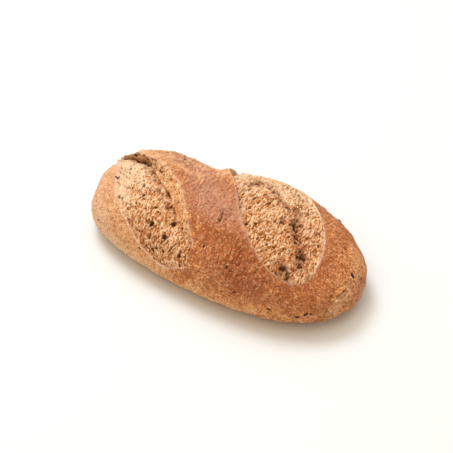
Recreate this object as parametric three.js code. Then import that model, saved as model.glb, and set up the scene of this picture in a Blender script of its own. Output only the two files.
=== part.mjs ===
// A short, plump seeded baguette, baked as one piece: one closed solid with a flat base and two diagonal
// slashes. Millimetres. +X runs along the loaf, +Y across it and +Z up. The origin is at the middle of the
// footprint, on the surface that the loaf rests on. The first slash runs down the -Y side.

import * as THREE from 'three';

// Driving dimensions of the loaf before it is slashed.
const LENGTH = 200;
const WIDTH = 99;
const HEIGHT = 58;
const END_HEIGHT = 17; // how high above the surface the two ends and the widest line lie
const BASE_PRESS = 2; // how much of the round underside its own weight pressed flat
const FLARE = 0.115; // the +X half is wider than the -X half by this share, at the very end
const RISE = 0.08; // and it is taller by this share
const WAIST = { depth: 0.07, centre: -10, reach: 26 }; // the dip between the slashes; depth is a share

// Superellipse exponents: 2 is an ellipse, and a larger number is squarer.
const PLAN_ROUNDNESS = { near: 2.2, far: 3 }; // seen from above, at the +X and the -X end
const PROFILE_ROUNDNESS = { near: 2.1, far: 3 }; // seen from the side, above the ends
const KEEL_ROUNDNESS = 3.2; // seen from the side, below the ends
const CROWN_ROUNDNESS = 2.3; // cross-section above its widest line
const BELLY_ROUNDNESS = 2.6; // and below it

// Each slash is an eye on the crust, in a frame of its own: along its cut, across towards the ear (the edge
// of crust that lifted), and out of the loaf. Its section lists heights above the round crust, from the thin
// rim at 0 to the crest of the ear at 1.
const SLASHES = [
  {
    centre: [-46, -25, 50.2],
    out: [-0.14, -0.37, 0.92],
    along: [0.77, -0.63, 0],
    earSign: 1,
    reach: { near: 51, far: 64 },
    rimWidth: 19.4,
    earWidth: 23.8,
    bed: 30,
    section: [[-0.2, 0], [0, 0.6], [0.16, -1.4], [0.5, -1.8], [0.76, -4.4], [1, 2], [1.45, 0]],
  },
  {
    centre: [40, -3, 56.2],
    out: [0.08, -0.03, 1],
    along: [0.705, -0.709, 0],
    earSign: -1,
    reach: { near: 44, far: 64 },
    rimWidth: 31,
    earWidth: 22.8,
    bed: 42,
    section: [[-0.15, 0], [0, 0.6], [0.12, -1.4], [0.38, -3.4], [0.55, -1], [0.85, -3.4], [1, 1.6], [1.3, 0]],
  },
];
const EYE_ROUNDNESS = 2.7; // how full the eye is between its tips
const BED_FADE = 6; // the depth below the crust over which a slash stops

// Mesh density. The sides are closer together above the widest line, where the slashes are.
const RINGS = 66;
const UPPER_SIDES = 46;
const UNDER_SIDES = 14;
const SIDES = UPPER_SIDES + UNDER_SIDES;
const UPPER_TURN = (200 / 180) * Math.PI; // how much of a whole turn the upper sides cover
const OUTLINE_STEPS = 2000; // the fine steps along the plan outline that the rings' places are picked from

const CRUST = new THREE.MeshStandardMaterial({ color: 0xb5794c, roughness: 0.8, metalness: 0 });

const clamp01 = (value) => Math.min(1, Math.max(0, value));
const smooth = (value) => clamp01(value) ** 2 * (3 - 2 * clamp01(value));
const signedPower = (value, exponent) => Math.sign(value) * Math.abs(value) ** exponent;
const falloff = (share, exponent) => Math.max(0, 1 - Math.abs(share) ** exponent) ** (1 / exponent);

// The half width, the rise above the ends' height and the drop below it, at a place along the loaf.
function sectionAt(x) {
  const share = x / (LENGTH / 2);
  const end = x < 0 ? 'far' : 'near';
  const waist = 1 - WAIST.depth * Math.exp(-(((x - WAIST.centre) / WAIST.reach) ** 2));
  const halfWidth = (WIDTH / 2) * falloff(share, PLAN_ROUNDNESS[end]) * (1 + FLARE * share);
  const rise = (HEIGHT - END_HEIGHT) * falloff(share, PROFILE_ROUNDNESS[end]) * (1 + RISE * share) * waist;
  const drop = (END_HEIGHT + BASE_PRESS) * falloff(share, KEEL_ROUNDNESS);
  return { halfWidth, rise, drop, waist };
}

// A point of the unslashed loaf. turn goes round the section: 0 is the crown, a quarter turn is the +Y side.
function roundLoaf(x, turn) {
  const { halfWidth, rise, drop, waist } = sectionAt(x);
  const above = Math.cos(turn) > 0;
  const power = 2 / (above ? CROWN_ROUNDNESS : BELLY_ROUNDNESS);
  const backWaist = Math.sin(turn) > 0 ? waist : 1;
  const y = halfWidth * backWaist * signedPower(Math.sin(turn), power);
  const z = END_HEIGHT + (above ? rise : drop) * signedPower(Math.cos(turn), power);
  return new THREE.Vector3(x, y, z);
}

// The height in a slash's section at a place across it, eased between the section's points.
function sectionHeight(section, place) {
  const next = section.findIndex(([at]) => at > place);
  if (next <= 0) return 0;
  const [fromAt, fromHeight] = section[next - 1];
  const [toAt, toHeight] = section[next];
  return fromHeight + (toHeight - fromHeight) * smooth((place - fromAt) / (toAt - fromAt));
}

// How far a slash moves a point of the crust, as a vector along the slash's own outward direction.
function slashMove(slash, point) {
  const out = new THREE.Vector3(...slash.out).normalize();
  const along = new THREE.Vector3(...slash.along).projectOnPlane(out).normalize();
  const across = new THREE.Vector3().crossVectors(out, along).multiplyScalar(slash.earSign);
  const local = point.clone().sub(new THREE.Vector3(...slash.centre));
  const run = local.dot(along) / (local.dot(along) > 0 ? slash.reach.near : slash.reach.far);
  const fullness = Math.max(0, 1 - Math.abs(run) ** EYE_ROUNDNESS);
  if (fullness === 0) return out.multiplyScalar(0);
  const rim = slash.rimWidth * fullness;
  const ear = slash.earWidth * fullness;
  const place = (local.dot(across) + rim) / (rim + ear);
  const depth = smooth((local.dot(out) + slash.bed + BED_FADE) / BED_FADE);
  return out.multiplyScalar(sectionHeight(slash.section, place) * smooth(fullness) * depth);
}

// The finished crust: the round loaf, moved by its slashes and pressed flat where it rests.
function loafPoint(x, turn) {
  const round = roundLoaf(x, turn);
  const moved = SLASHES.reduce((sum, slash) => sum.add(slashMove(slash, round)), round.clone());
  moved.z = Math.max(0, moved.z);
  return moved;
}

// The turn at which a side of the rings lies: the upper sides come first, from the -Y side over the crown.
function sideTurn(side) {
  if (side < UPPER_SIDES) return UPPER_TURN * (side / UPPER_SIDES - 0.5);
  return UPPER_TURN / 2 + (2 * Math.PI - UPPER_TURN) * ((side - UPPER_SIDES) / UNDER_SIDES);
}

// Where the rings lie along the loaf: equally far apart along its plan outline, so they crowd at the ends.
function ringPlaces() {
  const outline = Array.from({ length: OUTLINE_STEPS + 1 }, (_, step) => {
    const x = (-LENGTH / 2) * Math.cos((Math.PI * step) / OUTLINE_STEPS);
    return new THREE.Vector2(x, sectionAt(x).halfWidth);
  });
  const travelled = [0];
  for (let step = 1; step <= OUTLINE_STEPS; step += 1) {
    travelled.push(travelled[step - 1] + outline[step].distanceTo(outline[step - 1]));
  }
  return Array.from({ length: RINGS - 1 }, (_, ring) => {
    const wanted = (travelled[OUTLINE_STEPS] * (ring + 1)) / RINGS;
    return outline[travelled.findIndex((distance) => distance >= wanted)].x;
  });
}

// Rings of points from the -X end to the +X end, with one point at each end. Each square between them is
// split along the diagonal that the slashes follow.
function loafGeometry() {
  const points = [loafPoint(-LENGTH / 2, 0)];
  for (const x of ringPlaces()) {
    for (let side = 0; side < SIDES; side += 1) points.push(loafPoint(x, sideTurn(side)));
  }
  points.push(loafPoint(LENGTH / 2, 0));

  const at = (ring, side) => 1 + (ring - 1) * SIDES + (side % SIDES);
  const last = points.length - 1;
  const triangles = [];
  for (let side = 0; side < SIDES; side += 1) {
    triangles.push(0, at(1, side), at(1, side + 1));
    triangles.push(last, at(RINGS - 1, side + 1), at(RINGS - 1, side));
    for (let ring = 1; ring < RINGS - 1; ring += 1) {
      triangles.push(at(ring, side), at(ring + 1, side), at(ring, side + 1));
      triangles.push(at(ring + 1, side), at(ring + 1, side + 1), at(ring, side + 1));
    }
  }

  const geometry = new THREE.BufferGeometry();
  geometry.setFromPoints(points);
  geometry.setIndex(triangles);
  geometry.computeBoundingBox();
  const middle = geometry.boundingBox.getCenter(new THREE.Vector3());
  geometry.translate(-middle.x, -middle.y, 0);
  geometry.computeVertexNormals();
  return geometry;
}

const loaf = new THREE.Mesh(loafGeometry(), CRUST);
loaf.name = 'loaf';

const baguette = new THREE.Group();
baguette.add(loaf);

export default baguette;
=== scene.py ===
"""A short, plump seeded baguette with two opened slashes, baked as one piece.

The loaf is one closed mesh. Its round form is worked out from the frame, the slashes open it, and crust, torn
crumb and seeds are laid over that form. Shape code works in millimetres of a loaf DESIGN_LENGTH long, and the
finished meshes are scaled to the frame's own length, in metres.
"""

import math
from types import SimpleNamespace

import bmesh
import bpy
import numpy as np
from bpy.props import FloatProperty, FloatVectorProperty, IntProperty, PointerProperty
from mathutils import Matrix, Quaternion, Vector


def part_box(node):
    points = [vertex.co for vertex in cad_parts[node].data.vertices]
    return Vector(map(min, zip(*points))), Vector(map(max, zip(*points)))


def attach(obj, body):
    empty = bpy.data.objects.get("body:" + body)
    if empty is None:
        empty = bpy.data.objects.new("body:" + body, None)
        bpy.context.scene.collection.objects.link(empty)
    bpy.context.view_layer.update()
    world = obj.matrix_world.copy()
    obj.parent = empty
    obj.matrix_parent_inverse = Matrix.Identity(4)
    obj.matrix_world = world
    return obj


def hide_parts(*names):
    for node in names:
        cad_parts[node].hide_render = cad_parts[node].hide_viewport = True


bl_info = {
    "name": "Seeded Baguette",
    "version": (1, 0, 0),
    "blender": (4, 5, 0),
    "location": "View3D > Sidebar > Baguette",
    "description": "Builds a short seeded baguette with two opened slashes, and a studio stage for it",
    "category": "Add Mesh",
}

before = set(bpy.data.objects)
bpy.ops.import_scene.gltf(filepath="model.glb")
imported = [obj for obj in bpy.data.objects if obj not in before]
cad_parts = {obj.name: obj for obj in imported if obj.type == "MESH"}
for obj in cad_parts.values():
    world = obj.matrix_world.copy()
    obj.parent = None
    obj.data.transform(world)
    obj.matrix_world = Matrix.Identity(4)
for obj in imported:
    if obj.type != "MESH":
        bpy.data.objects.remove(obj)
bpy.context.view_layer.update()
LOAF_LOW, LOAF_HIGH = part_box("loaf")
LOAF_SIZE = LOAF_HIGH - LOAF_LOW

# ---------------------------------------------------------------------------------------------------------
# The round form, in millimetres
# ---------------------------------------------------------------------------------------------------------

DESIGN_LENGTH = 200.0
UNIT = LOAF_SIZE.x / DESIGN_LENGTH  # metres in one millimetre of the design
MILLIMETRES = 1000  # in a metre
GROWTH = UNIT * MILLIMETRES  # the frame's loaf against the design's
WIDTH = 99.0
HEIGHT = 58.0
END_HEIGHT = 17.0  # how high the two ends and the widest line lie
BASE_PRESS = 2.0  # how much of the round underside its weight pressed flat
FLARE = 0.115  # the +X half is this share wider, at the very end
RISE = 0.08  # and this share taller
WAIST_DEPTH = 0.07
WAIST_CENTRE = -10.0
WAIST_REACH = 26.0
PLAN_ROUNDNESS = (3.0, 2.2)  # superellipse exponents from above, at the -X and the +X end
PROFILE_ROUNDNESS = (3.0, 2.1)  # from the side, above the ends
KEEL_ROUNDNESS = 3.2  # from the side, below the ends
CROWN_ROUNDNESS = 2.3  # cross-section above its widest line
BELLY_ROUNDNESS = 2.6  # and below it
UPPER_TURN = math.radians(210)  # how much of the section gets the finely spaced sides


def smooth(value):
    """Ease from 0 to 1."""
    value = np.clip(value, 0.0, 1.0)
    return value * value * (3 - 2 * value)


def bump(distance):
    """A round hill: 1 at no distance, and near 0 from a distance of 2."""
    return np.exp(-np.square(distance))


def signed_power(value, exponent):
    """A number's size to a power, with its sign kept."""
    return np.sign(value) * np.abs(value) ** exponent


def falloff(share, exponent):
    """The height of a superellipse, 1 at its middle, at a share of its half length."""
    return np.maximum(0.0, 1 - np.abs(share) ** exponent) ** (1 / exponent)


def eased(place, stations):
    """The height between the points of a section, eased from each to the next."""
    at = np.array([station[0] for station in stations])
    height = np.array([station[1] for station in stations])
    after = np.clip(np.searchsorted(at, place, side="right"), 1, len(at) - 1)
    share = smooth((place - at[after - 1]) / (at[after] - at[after - 1]))
    return height[after - 1] + (height[after] - height[after - 1]) * share


def curve(place, stations):
    """A smooth curve through the stations, level beyond the first and the last."""
    at, height = np.array(stations, float).T
    slope = np.gradient(height, at)
    after = np.clip(np.searchsorted(at, place), 1, len(at) - 1)
    step = at[after] - at[after - 1]
    share = np.clip((place - at[after - 1]) / step, 0, 1)
    bend_in = slope[after - 1] * step * share * (1 - share) ** 2
    bend_out = slope[after] * step * share**2 * (1 - share)
    return height[after - 1] + (height[after] - height[after - 1]) * smooth(share) + bend_in - bend_out


def section_at(x):
    """Half width, rise above the ends' height, drop below it, and waist, at places along the loaf."""
    share = x / (DESIGN_LENGTH / 2)
    plan = np.where(x < 0, *PLAN_ROUNDNESS)
    profile = np.where(x < 0, *PROFILE_ROUNDNESS)
    waist = 1 - WAIST_DEPTH * bump((x - WAIST_CENTRE) / WAIST_REACH)
    half_width = WIDTH / 2 * falloff(share, plan) * (1 + FLARE * share)
    rise = (HEIGHT - END_HEIGHT) * falloff(share, profile) * (1 + RISE * share) * waist
    drop = (END_HEIGHT + BASE_PRESS) * falloff(share, KEEL_ROUNDNESS)
    return half_width, rise, drop, waist


def round_loaf(x, turn):
    """Points of the unslashed loaf. A turn of 0 is the crown and a quarter turn is the +Y side."""
    half_width, rise, drop, waist = section_at(x)
    above = np.cos(turn) > 0
    power = 2 / np.where(above, CROWN_ROUNDNESS, BELLY_ROUNDNESS)
    side = signed_power(np.sin(turn), power) * np.where(np.sin(turn) > 0, waist, 1.0)
    height = END_HEIGHT + np.where(above, rise, drop) * signed_power(np.cos(turn), power)
    return np.stack(np.broadcast_arrays(x, half_width * side, height), axis=-1)


def ring_places(rings):
    """Where the rings lie along the loaf: equally far apart along its plan outline."""
    x = -DESIGN_LENGTH / 2 * np.cos(np.linspace(0, math.pi, 4001))
    travelled = np.concatenate([[0], np.cumsum(np.hypot(np.diff(x), np.diff(section_at(x)[0])))])
    return np.interp(np.linspace(0, travelled[-1], rings + 1)[1:-1], travelled, x)


def side_turns(upper, under):
    """The turns of a ring's points, closer together over the top than under the belly."""
    over = UPPER_TURN * (np.arange(upper) / upper - 0.5)
    below = UPPER_TURN / 2 + (2 * math.pi - UPPER_TURN) * np.arange(under) / under
    return np.concatenate([over, below])


# ---------------------------------------------------------------------------------------------------------
# Repeatable noise
# ---------------------------------------------------------------------------------------------------------

SKEW = np.array([[0.8, 0.48, -0.36], [-0.6, 0.64, -0.48], [0.0, 0.6, 0.8]])  # turns the lattice off the axes


CELL_MIX = np.array([374761393, 668265263, 2147483647])  # large odd numbers that scramble a cell's place
SEED_MIX = 974634777
STEP_MIX = 1274126177
WORD = 0xFFFFFFFF  # keeps a number to 32 bits


def lattice(cell, seed):
    """A number from 0 to 1 for each whole-number cell, always the same for the same cell and seed."""
    mixed = (cell @ CELL_MIX[: cell.shape[-1]] + seed * SEED_MIX) & WORD
    for shift in (15, 13):
        mixed = ((mixed ^ (mixed >> shift)) * STEP_MIX) & WORD
    return (mixed ^ (mixed >> 16)) / 2**32


def noise(points, size, seed=0):
    """Smooth noise from -1 to 1 with lumps about size across."""
    place = points @ SKEW.T / size
    cell = np.floor(place).astype(np.int64)
    inside = place - cell
    inside = inside**3 * (inside * (inside * 6 - 15) + 10)
    total = 0
    for corner in np.ndindex(2, 2, 2):
        weight = np.prod(np.where(corner, inside, 1 - inside), axis=-1)
        total = total + weight * lattice(cell + np.array(corner), seed)
    return 2 * total - 1


def layered(points, size, seed=0, layers=3):
    """Noise with finer, weaker layers on top."""
    return sum(noise(points, size / 2**k, seed + k) / 2**k for k in range(layers))


def pits(place, size, share, radii, seed):
    """How deep each flat place lies in a scatter of round hollows, in units of the hollow's own radius."""
    cell = np.floor(place / size).astype(np.int64)
    deepest = np.zeros(len(place))
    for step in np.ndindex(3, 3):
        home = cell + np.array(step) - 1
        shift = np.stack([lattice(home, seed), lattice(home, seed + 1)], axis=-1)
        radius = radii[0] + (radii[1] - radii[0]) * lattice(home, seed + 2) ** 2
        radius = np.where(lattice(home, seed + 3) < share, radius, 1e-6)
        gap = np.linalg.norm(place - (home + 0.15 + 0.7 * shift) * size, axis=-1)
        deepest = np.maximum(deepest, radius * smooth(1.25 * (1 - gap / radius)))
    return deepest


# ---------------------------------------------------------------------------------------------------------
# The slashes
# ---------------------------------------------------------------------------------------------------------

BED_FADE = 6.0  # the depth below the crust over which a slash stops
STRING_TURN = math.radians(126)  # the torn strings run this far off the line of the cut
STRING_LENGTH = 5.2
STRING_WIDTH = 1.2
CRUMB_PORES = (  # how far apart the pores of a kind lie, the share of places that have one, radii, seed
    (1.9, 0.75, (0.4, 0.9), 31),
    (4.6, 0.55, (0.7, 1.5), 41),
    (3.1, 0.5, (0.6, 1.1), 43),
)
EDGE_FADE = 12.0  # the distance beyond a slash's edges that counts as 1 in its section

# centre, out and along place a slash on the crust, and ear_sign says on which side its ear is. bed is how far
# below the centre it still opens, and lip is how strongly its pale edge shows. rim, junction and ear are
# lines beside the cut, as places along it and distances across it: the thin rim, where torn crumb meets the
# underside of the ear, and the crest of the ear. lift is the height of the section above the round form, and
# lean how far the crust there leans towards the ear, at places from 0 at the rim to 1 at the junction and 2
# at the crest. far_lift is added towards the far tip. tears are dark splits: where each is along and across
# the cut, how long and how wide it is, its depth, and its turn off the cut. holes are single large pores:
# where each is along and across the cut, and its radius. seed fixes the slash's own noise.
FIRST_SLASH = dict(
    centre=(-46, -25, 50.2),
    out=(-0.14, -0.37, 0.92),
    along=(0.77, -0.63, 0),
    ear_sign=1,
    bed=30,
    lip=0.62,
    rim=((-66, 9.5), (-58, 9.4), (-50, 8.4), (-41, 8.9), (-34, 11.6), (-28, 15), (-21, 18), (-8, 19),
         (6, 19.8), (19, 19.2), (28, 17), (36, 13), (43, 6.6), (48, 1.4), (54, -2.8)),
    junction=((-66, -9.5), (-57, -7), (-51, -2), (-46, 3), (-40, 7.4), (-33, 10.8), (-16, 11.8),
              (-2, 13.3), (13, 12.2), (24, 9), (33, 10.3), (41, 11.6), (46, 8), (54, 2.7)),
    ear=((-66, -9), (-58, -4.5), (-53, 1.5), (-47, 9), (-38, 14), (-28, 20.2), (-20, 23), (-6, 24.4),
         (4, 24.1), (14, 22), (24, 19.8), (32, 16.6), (39, 14.6), (45, 12.2), (47.5, 5.5), (54, 2.8)),
    lift=((-0.8, 0), (-0.08, 0.2), (0, 0.8), (0.05, -1.0), (0.25, -0.9), (0.55, -0.2), (0.82, -1.0),
          (0.97, -2.7), (1.0, -3.4), (1.07, -2.2), (1.14, -1.7), (1.24, -2.2), (1.5, -0.2), (1.92, 1.7),
          (2.0, 2.0), (2.08, 1.7), (3, 0)),
    lean=((0.9, 0), (1.0, 0.7), (1.2, 0), (1.96, -0.8), (2.4, 0)),
    far_lift=((0, 0), (0.5, 0.6), (0.8, -0.4), (0.98, -2.6), (1.15, -1.8), (1.7, 0.6), (2, 1.2), (3, 0)),
    tears=((-50, -0.4, 5, 2.4, 5.0, 0.8), (-44, 4.6, 6, 2.8, 7.0, 0.6), (-37, 9.4, 5.5, 2.2, 5, 0.3),
           (-26, 10.8, 6, 1.6, 2.6, 0.1), (-18, 9.4, 3.4, 2.6, 2.2, 0.1), (-12, 11.5, 6, 1.0, 2.4, 0.1),
           (0.5, 13.0, 7, 1.0, 2.6, 0.0), (14, 11.8, 6, 1.1, 2.4, -0.1), (-4, 9.6, 5, 1.6, 1.4, 0.1),
           (-52, 1.5, 3.4, 1.7, 3.4, 0.9), (-47, 6.8, 3, 1.7, 3.2, 0.7), (-42, 11.2, 2.8, 1.5, 3.0, 0.8),
           (-38, 12.6, 2.6, 1.4, 3.0, 0.8), (-33, 16.4, 2.6, 1.4, 2.8, 0.3),
           (-27.5, 14.2, 2.4, 1.3, 2.6, -0.4), (-22, 18.6, 2, 1.2, 2.4, 0.4),
           (-15.5, 17, 1.8, 1.1, 2.4, 0.1), (-9, 21, 1.6, 1, 2.2, 0.6), (10, 9.4, 4.4, 1.5, 1.8, -0.2),
           (50, 2.2, 4, 0.7, 1.4, 0.4), (5, -18.8, 3.6, 1.2, 1.8, -0.6), (9, -20.8, 3.4, 0.6, 1.2, 0.2)),
    holes=((15, -4.6, 2.3), (22.2, 7.4, 2.3), (27.2, -1.2, 2.2), (-5.3, -14.7, 1.1), (-4.3, -7.6, 1.3),
           (-32.5, -11, 1.5), (-16.6, -16.4, 1.3), (-14.2, -14.8, 1.1), (32, -6.9, 1.2),
           (27.4, -10.1, 1.0), (10.6, -15.4, 1.1), (3.6, -3.6, 1.2), (-20, 16.5, 1.2), (-8.7, 19.6, 0.9),
           (-33.7, 15.1, 1.4)),
    seed=11,
)
SECOND_SLASH = dict(
    centre=(40, -3, 56.2),
    out=(0.08, -0.03, 1),
    along=(0.705, -0.709, 0),
    ear_sign=-1,
    bed=42,
    lip=1.0,
    rim=((-71, -2), (-65, 8), (-56, 16.5), (-45, 22.5), (-34, 26.5), (-23, 28.6), (-10, 30.5), (5, 29.8),
         (17, 26.8), (27, 22), (33, 17.8), (38.6, 12.2), (42, 6.4), (43.6, 0)),
    junction=((-71, 1.5), (-66, 11), (-58, 15.2), (-48.5, 15.6), (-28, 18.9), (-16, 20.9), (-6, 21.9),
              (8, 21.2), (15, 19.8), (22, 17.4), (28, 14.8), (34, 10), (39, 5), (43.6, -0.1)),
    ear=((-71, 2), (-66, 12.5), (-58, 17), (-48.5, 17.2), (-28, 20.4), (-16, 22.4), (-6, 23.3), (8, 22.6),
         (15, 21.1), (22, 18.8), (28, 16.2), (34, 11.4), (39, 6.4), (43.6, 0)),
    lift=((-0.8, 0), (-0.06, 0.2), (0, 1.0), (0.04, -0.9), (0.14, -0.6), (0.3, -0.7), (0.38, -1.5),
          (0.46, -0.3), (0.64, 0.5), (0.86, -0.5), (0.985, -2.2), (1.2, -1.8), (2.0, 0.9), (2.06, 0.8),
          (3, 0)),
    lean=((0.96, 0), (1.0, 0.8), (1.9, -0.6), (2.15, 0)),
    far_lift=((-0.3, 0), (0, 0.8), (0.2, 3.2), (0.45, 2.8), (0.58, 1.6), (0.78, -2.2), (0.9, -4.2),
              (1.0, -5.0), (1.3, -3.4), (2, 1.3), (2.1, 1.2), (2.7, 0)),
    tears=((-5, -14.4, 5, 2.4, 3.4, 0.15), (1, -12.4, 5.5, 3.2, 4.4, 0.3),
           (6.5, -10.0, 4.6, 3.0, 3.8, 0.3), (12.5, -8.8, 4, 2.0, 2.6, 0.2),
           (18.5, -9.0, 4, 1.6, 2.4, 0.2), (25.5, -6.6, 4.6, 4.2, 4.8, 0.0),
           (31.0, -5.2, 4.2, 3.6, 4.4, 0.3), (31.5, 5.8, 4.6, 2.8, 3.6, -0.5),
           (36.5, 3.6, 4.2, 2.0, 3.2, 0.1), (42, 1.4, 4.4, 0.9, 2.0, 0.1), (-38, 1.5, 7, 2.2, 3.0, -0.8),
           (-33, -3.6, 4, 1.6, 2.6, -0.3), (-25, -5, 6, 1.8, 2.4, -0.3), (-14, -8, 7, 2.0, 2.4, -0.4),
           (-1, -3.6, 3, 1.8, 2.4, 0.6)),
    holes=((-31.6, 16.6, 1.2), (-23.8, 18.4, 1.4), (-4.4, 19.8, 1.3), (1.7, -3.2, 1.5), (2.7, -7.3, 1.3),
           (14.8, 11.6, 1.3), (32.6, 10.2, 1.3), (17.4, -6.6, 1.4), (-42.5, 5.2, 1.4),
           (-18.3, -1.7, 1.1)),
    seed=47,
)


class Slash:
    """One opened cut: its own frame on the crust, its outline, and where each point lies in it."""

    def __init__(self, facts):
        self.__dict__.update(facts)
        self.centre = np.array(self.centre, float)
        self.out = unit(np.array(self.out, float))
        self.along = np.array(self.along, float)
        self.along = unit(self.along - self.out * (self.along @ self.out))
        self.across = np.cross(self.out, self.along) * self.ear_sign

    def locate(self, points):
        """Places in the slash's frame, gaps to its outline, and the place of each point in its section."""
        local = points - self.centre
        a, b, c = local @ self.along, local @ self.across, local @ self.out
        path = np.column_stack([a, 0 * a, 0 * a])
        rim = curve(a, self.rim) + self.wander(path, 5, 1.1, 3.2)
        junction = curve(a, self.junction) + self.wander(path, 15, 1.1, 3.6)
        ear = curve(a, self.ear) + self.wander(path, 25, 0.7, 4.2)
        junction = np.minimum(junction, ear - 0.8)
        opening = np.maximum(curve(a, self.rim) + curve(a, self.ear), 0)
        in_crumb = (b + rim) / np.maximum(rim + junction, 0.5)
        in_ear = 1 + (b - junction) / np.maximum(ear - junction, 0.5)
        place = np.where(b < junction, np.minimum(in_crumb, 1), np.minimum(in_ear, 2))
        place = np.where(b < -rim, (b + rim) / EDGE_FADE, np.where(b > ear, 2 + (b - ear) / EDGE_FADE, place))
        open_share = smooth(opening / 15) * smooth((c + self.bed + BED_FADE) / BED_FADE)
        rim_gap, ear_gap = b + rim, ear - b
        gap = np.where(opening > 0, np.minimum(rim_gap, ear_gap), -9.0)
        return SimpleNamespace(
            a=a, b=b, c=c, place=place, open_share=open_share, rim_gap=rim_gap, ear_gap=ear_gap, gap=gap)

    def wander(self, path, offset, amount, size):
        """A ragged wandering of a line, in broad swings and in small nicks."""
        swing = noise(path, size * 4.5, self.seed + offset)
        return amount * (0.55 * swing + 0.3 * layered(path, size, self.seed + offset + 1, 2))


def unit(vector):
    """The vector, or each of several, at a length of 1."""
    return vector / np.linalg.norm(vector, axis=-1, keepdims=True)


# ---------------------------------------------------------------------------------------------------------
# Relief of crumb and crust
# ---------------------------------------------------------------------------------------------------------


def torn_crumb(slash, at, settings):
    """Height of the torn face above its smooth section, how strongly each point's pore is darkened with
    painted shade, and its strings.
    """
    place = np.column_stack([at.a, at.b, at.c])
    swirl = 0.25 * noise(place, 15, slash.seed + 21)
    cos, sin = np.cos(STRING_TURN + swirl), np.sin(STRING_TURN + swirl) * slash.ear_sign
    length, width = at.a * cos + at.b * sin, at.b * cos - at.a * sin
    warp = layered(place, 5, slash.seed + 22)
    strand = np.column_stack([length / STRING_LENGTH, (width + 0.5 * warp) / STRING_WIDTH, at.c / 5])
    strings = np.minimum(2.8 * np.abs(noise(strand, 1, slash.seed + 23)), 1)
    fine = np.minimum(2.8 * np.abs(noise(strand * (2.2, 1.7, 2), 1, slash.seed + 24)), 1)
    lumps = layered(place, 8, slash.seed + 25, 3)
    grain = noise(place, 1.1, slash.seed + 26)

    stretched = np.column_stack([length / 1.5, width])
    hollow = np.zeros(len(at.a))
    for spacing, share, radii, offset in CRUMB_PORES:
        hollow = np.maximum(hollow, pits(stretched, spacing, share, radii, slash.seed + offset))
    for along, across, radius in slash.holes:
        gap = np.hypot(at.a - along, at.b - across) / radius
        hollow = np.maximum(hollow, 1.25 * radius * smooth(1.3 * (1 - gap - 0.25 * warp)))

    height = settings.string_height * MILLIMETRES * (0.5 * strings + 0.45 * fine + 0.3 * grain - 0.6)
    height += settings.crumb_lumps * MILLIMETRES * lumps
    height -= settings.pore_depth * hollow
    return height, smooth(hollow / 1.2), 0.6 * strings + 0.4 * fine


def tears(slash, at, strings):
    """Depth of the splits where the loaf tore while it opened, and how much painted shade darkens the crumb
    around them.
    """
    depth = np.zeros(len(at.a))
    browned = np.zeros(len(at.a))
    place = np.column_stack([at.a, at.b, at.c])
    ragged = layered(place, 2.6, slash.seed + 51)
    strands = 0.2 + 0.8 * smooth(1.2 - 1.2 * strings + 0.9 * noise(place, 1.7, slash.seed + 55))
    for along, across, length, width, deep, turn in slash.tears:
        a, b = at.a - along, at.b - across
        run = (a * math.cos(turn) + b * math.sin(turn)) / length
        cut = (-a * math.sin(turn) + b * math.cos(turn)) / width
        gap = np.hypot(run, cut)
        depth = np.maximum(depth, deep * strands * smooth(1.7 * (1 - gap + 0.55 * ragged)))
        # painted shade in a wide band round each split
        browned = np.maximum(browned, min(1, deep / 3) * smooth(1.2 - 0.5 * gap + 0.3 * ragged))
    return depth, browned


def distance_to_path(points, path):
    """The gap from each point to a path of straight stretches, and on which side of it in plan it lies."""
    nearest = np.full(len(points), np.inf)
    side = np.zeros(len(points))
    for start, end in zip(path[:-1], path[1:]):
        run = end - start
        share = np.clip((points - start) @ run / (run @ run), 0, 1)
        gap = points - (start + share[:, None] * run)
        distance = np.linalg.norm(gap, axis=-1)
        closer = distance < nearest
        nearest = np.where(closer, distance, nearest)
        side = np.where(closer, np.sign(gap @ np.cross((0.8, -0.5, 0.3), run)), side)
    return nearest, side


SEAM = np.array([  # the line at the +X end where the crust folded over itself
    (94.4, -13, 30), (92.3, -20, 28.5), (90.4, -25, 25.5), (89.3, -28, 20), (88.5, -28, 13), (87, -26, 6)])
NICK_RADIUS = 2  # a dent smaller than this is a nick, darkened with painted shade
CREASED_RISE = 1.5  # a blister higher than this has a crease behind it
CREASE_WAY = (-0.96, 0.26, 0.1)  # the side on which that crease lies
BLISTERS = (  # place on the crust, radius and height, which is below 0 for a dent
    ((7.5, -12.9, 55.5), 3.6, 2.3),
    ((11, -9, 56), 2.0, 0.6),
    ((-70.5, -33.7, 36.9), 3.0, 0.5),
    ((77, -32.8, 32.5), 1.6, 0.6),
    ((-52, 30, 43), 4.0, 0.8),
    ((52, 41, 35), 5.0, 0.9),
    ((-20, 34, 45), 2.6, 0.6),
    ((86, 14, 38), 2.8, 0.5),
    ((33, -48.5, 18.5), 2.6, 1.2),
    ((5.3, -18.1, 54.4), 1.9, -1.4),
    ((8.4, -16.8, 54.8), 1.2, -1.2),
    ((-2, -17.3, 55), 1.3, -1.0),
    ((10.4, -9.2, 56), 1.3, -1.2),
    ((98, 5.6, 26), 1.5, -1.2),
    ((-73, -34, 35), 1.7, -1.4),
    ((-68, -37, 33), 1.4, -1.2),
    ((-35, 36, 43), 34, -4.0),
    ((60, 34, 36), 26, -1.4),
    ((-97, -16, 30), 16, -1.5),
    ((-92, 13, 38), 18, -5.2),
    ((84, 30, 28), 18, -1.8),
)


def middle_band(points):
    """1 on the strip of crust between the two slashes, fading to either side."""
    return bump((0.67 * points[:, 0] + 0.74 * points[:, 1] + 8) / 17) * smooth((points[:, 2] - 22) / 18)


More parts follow.
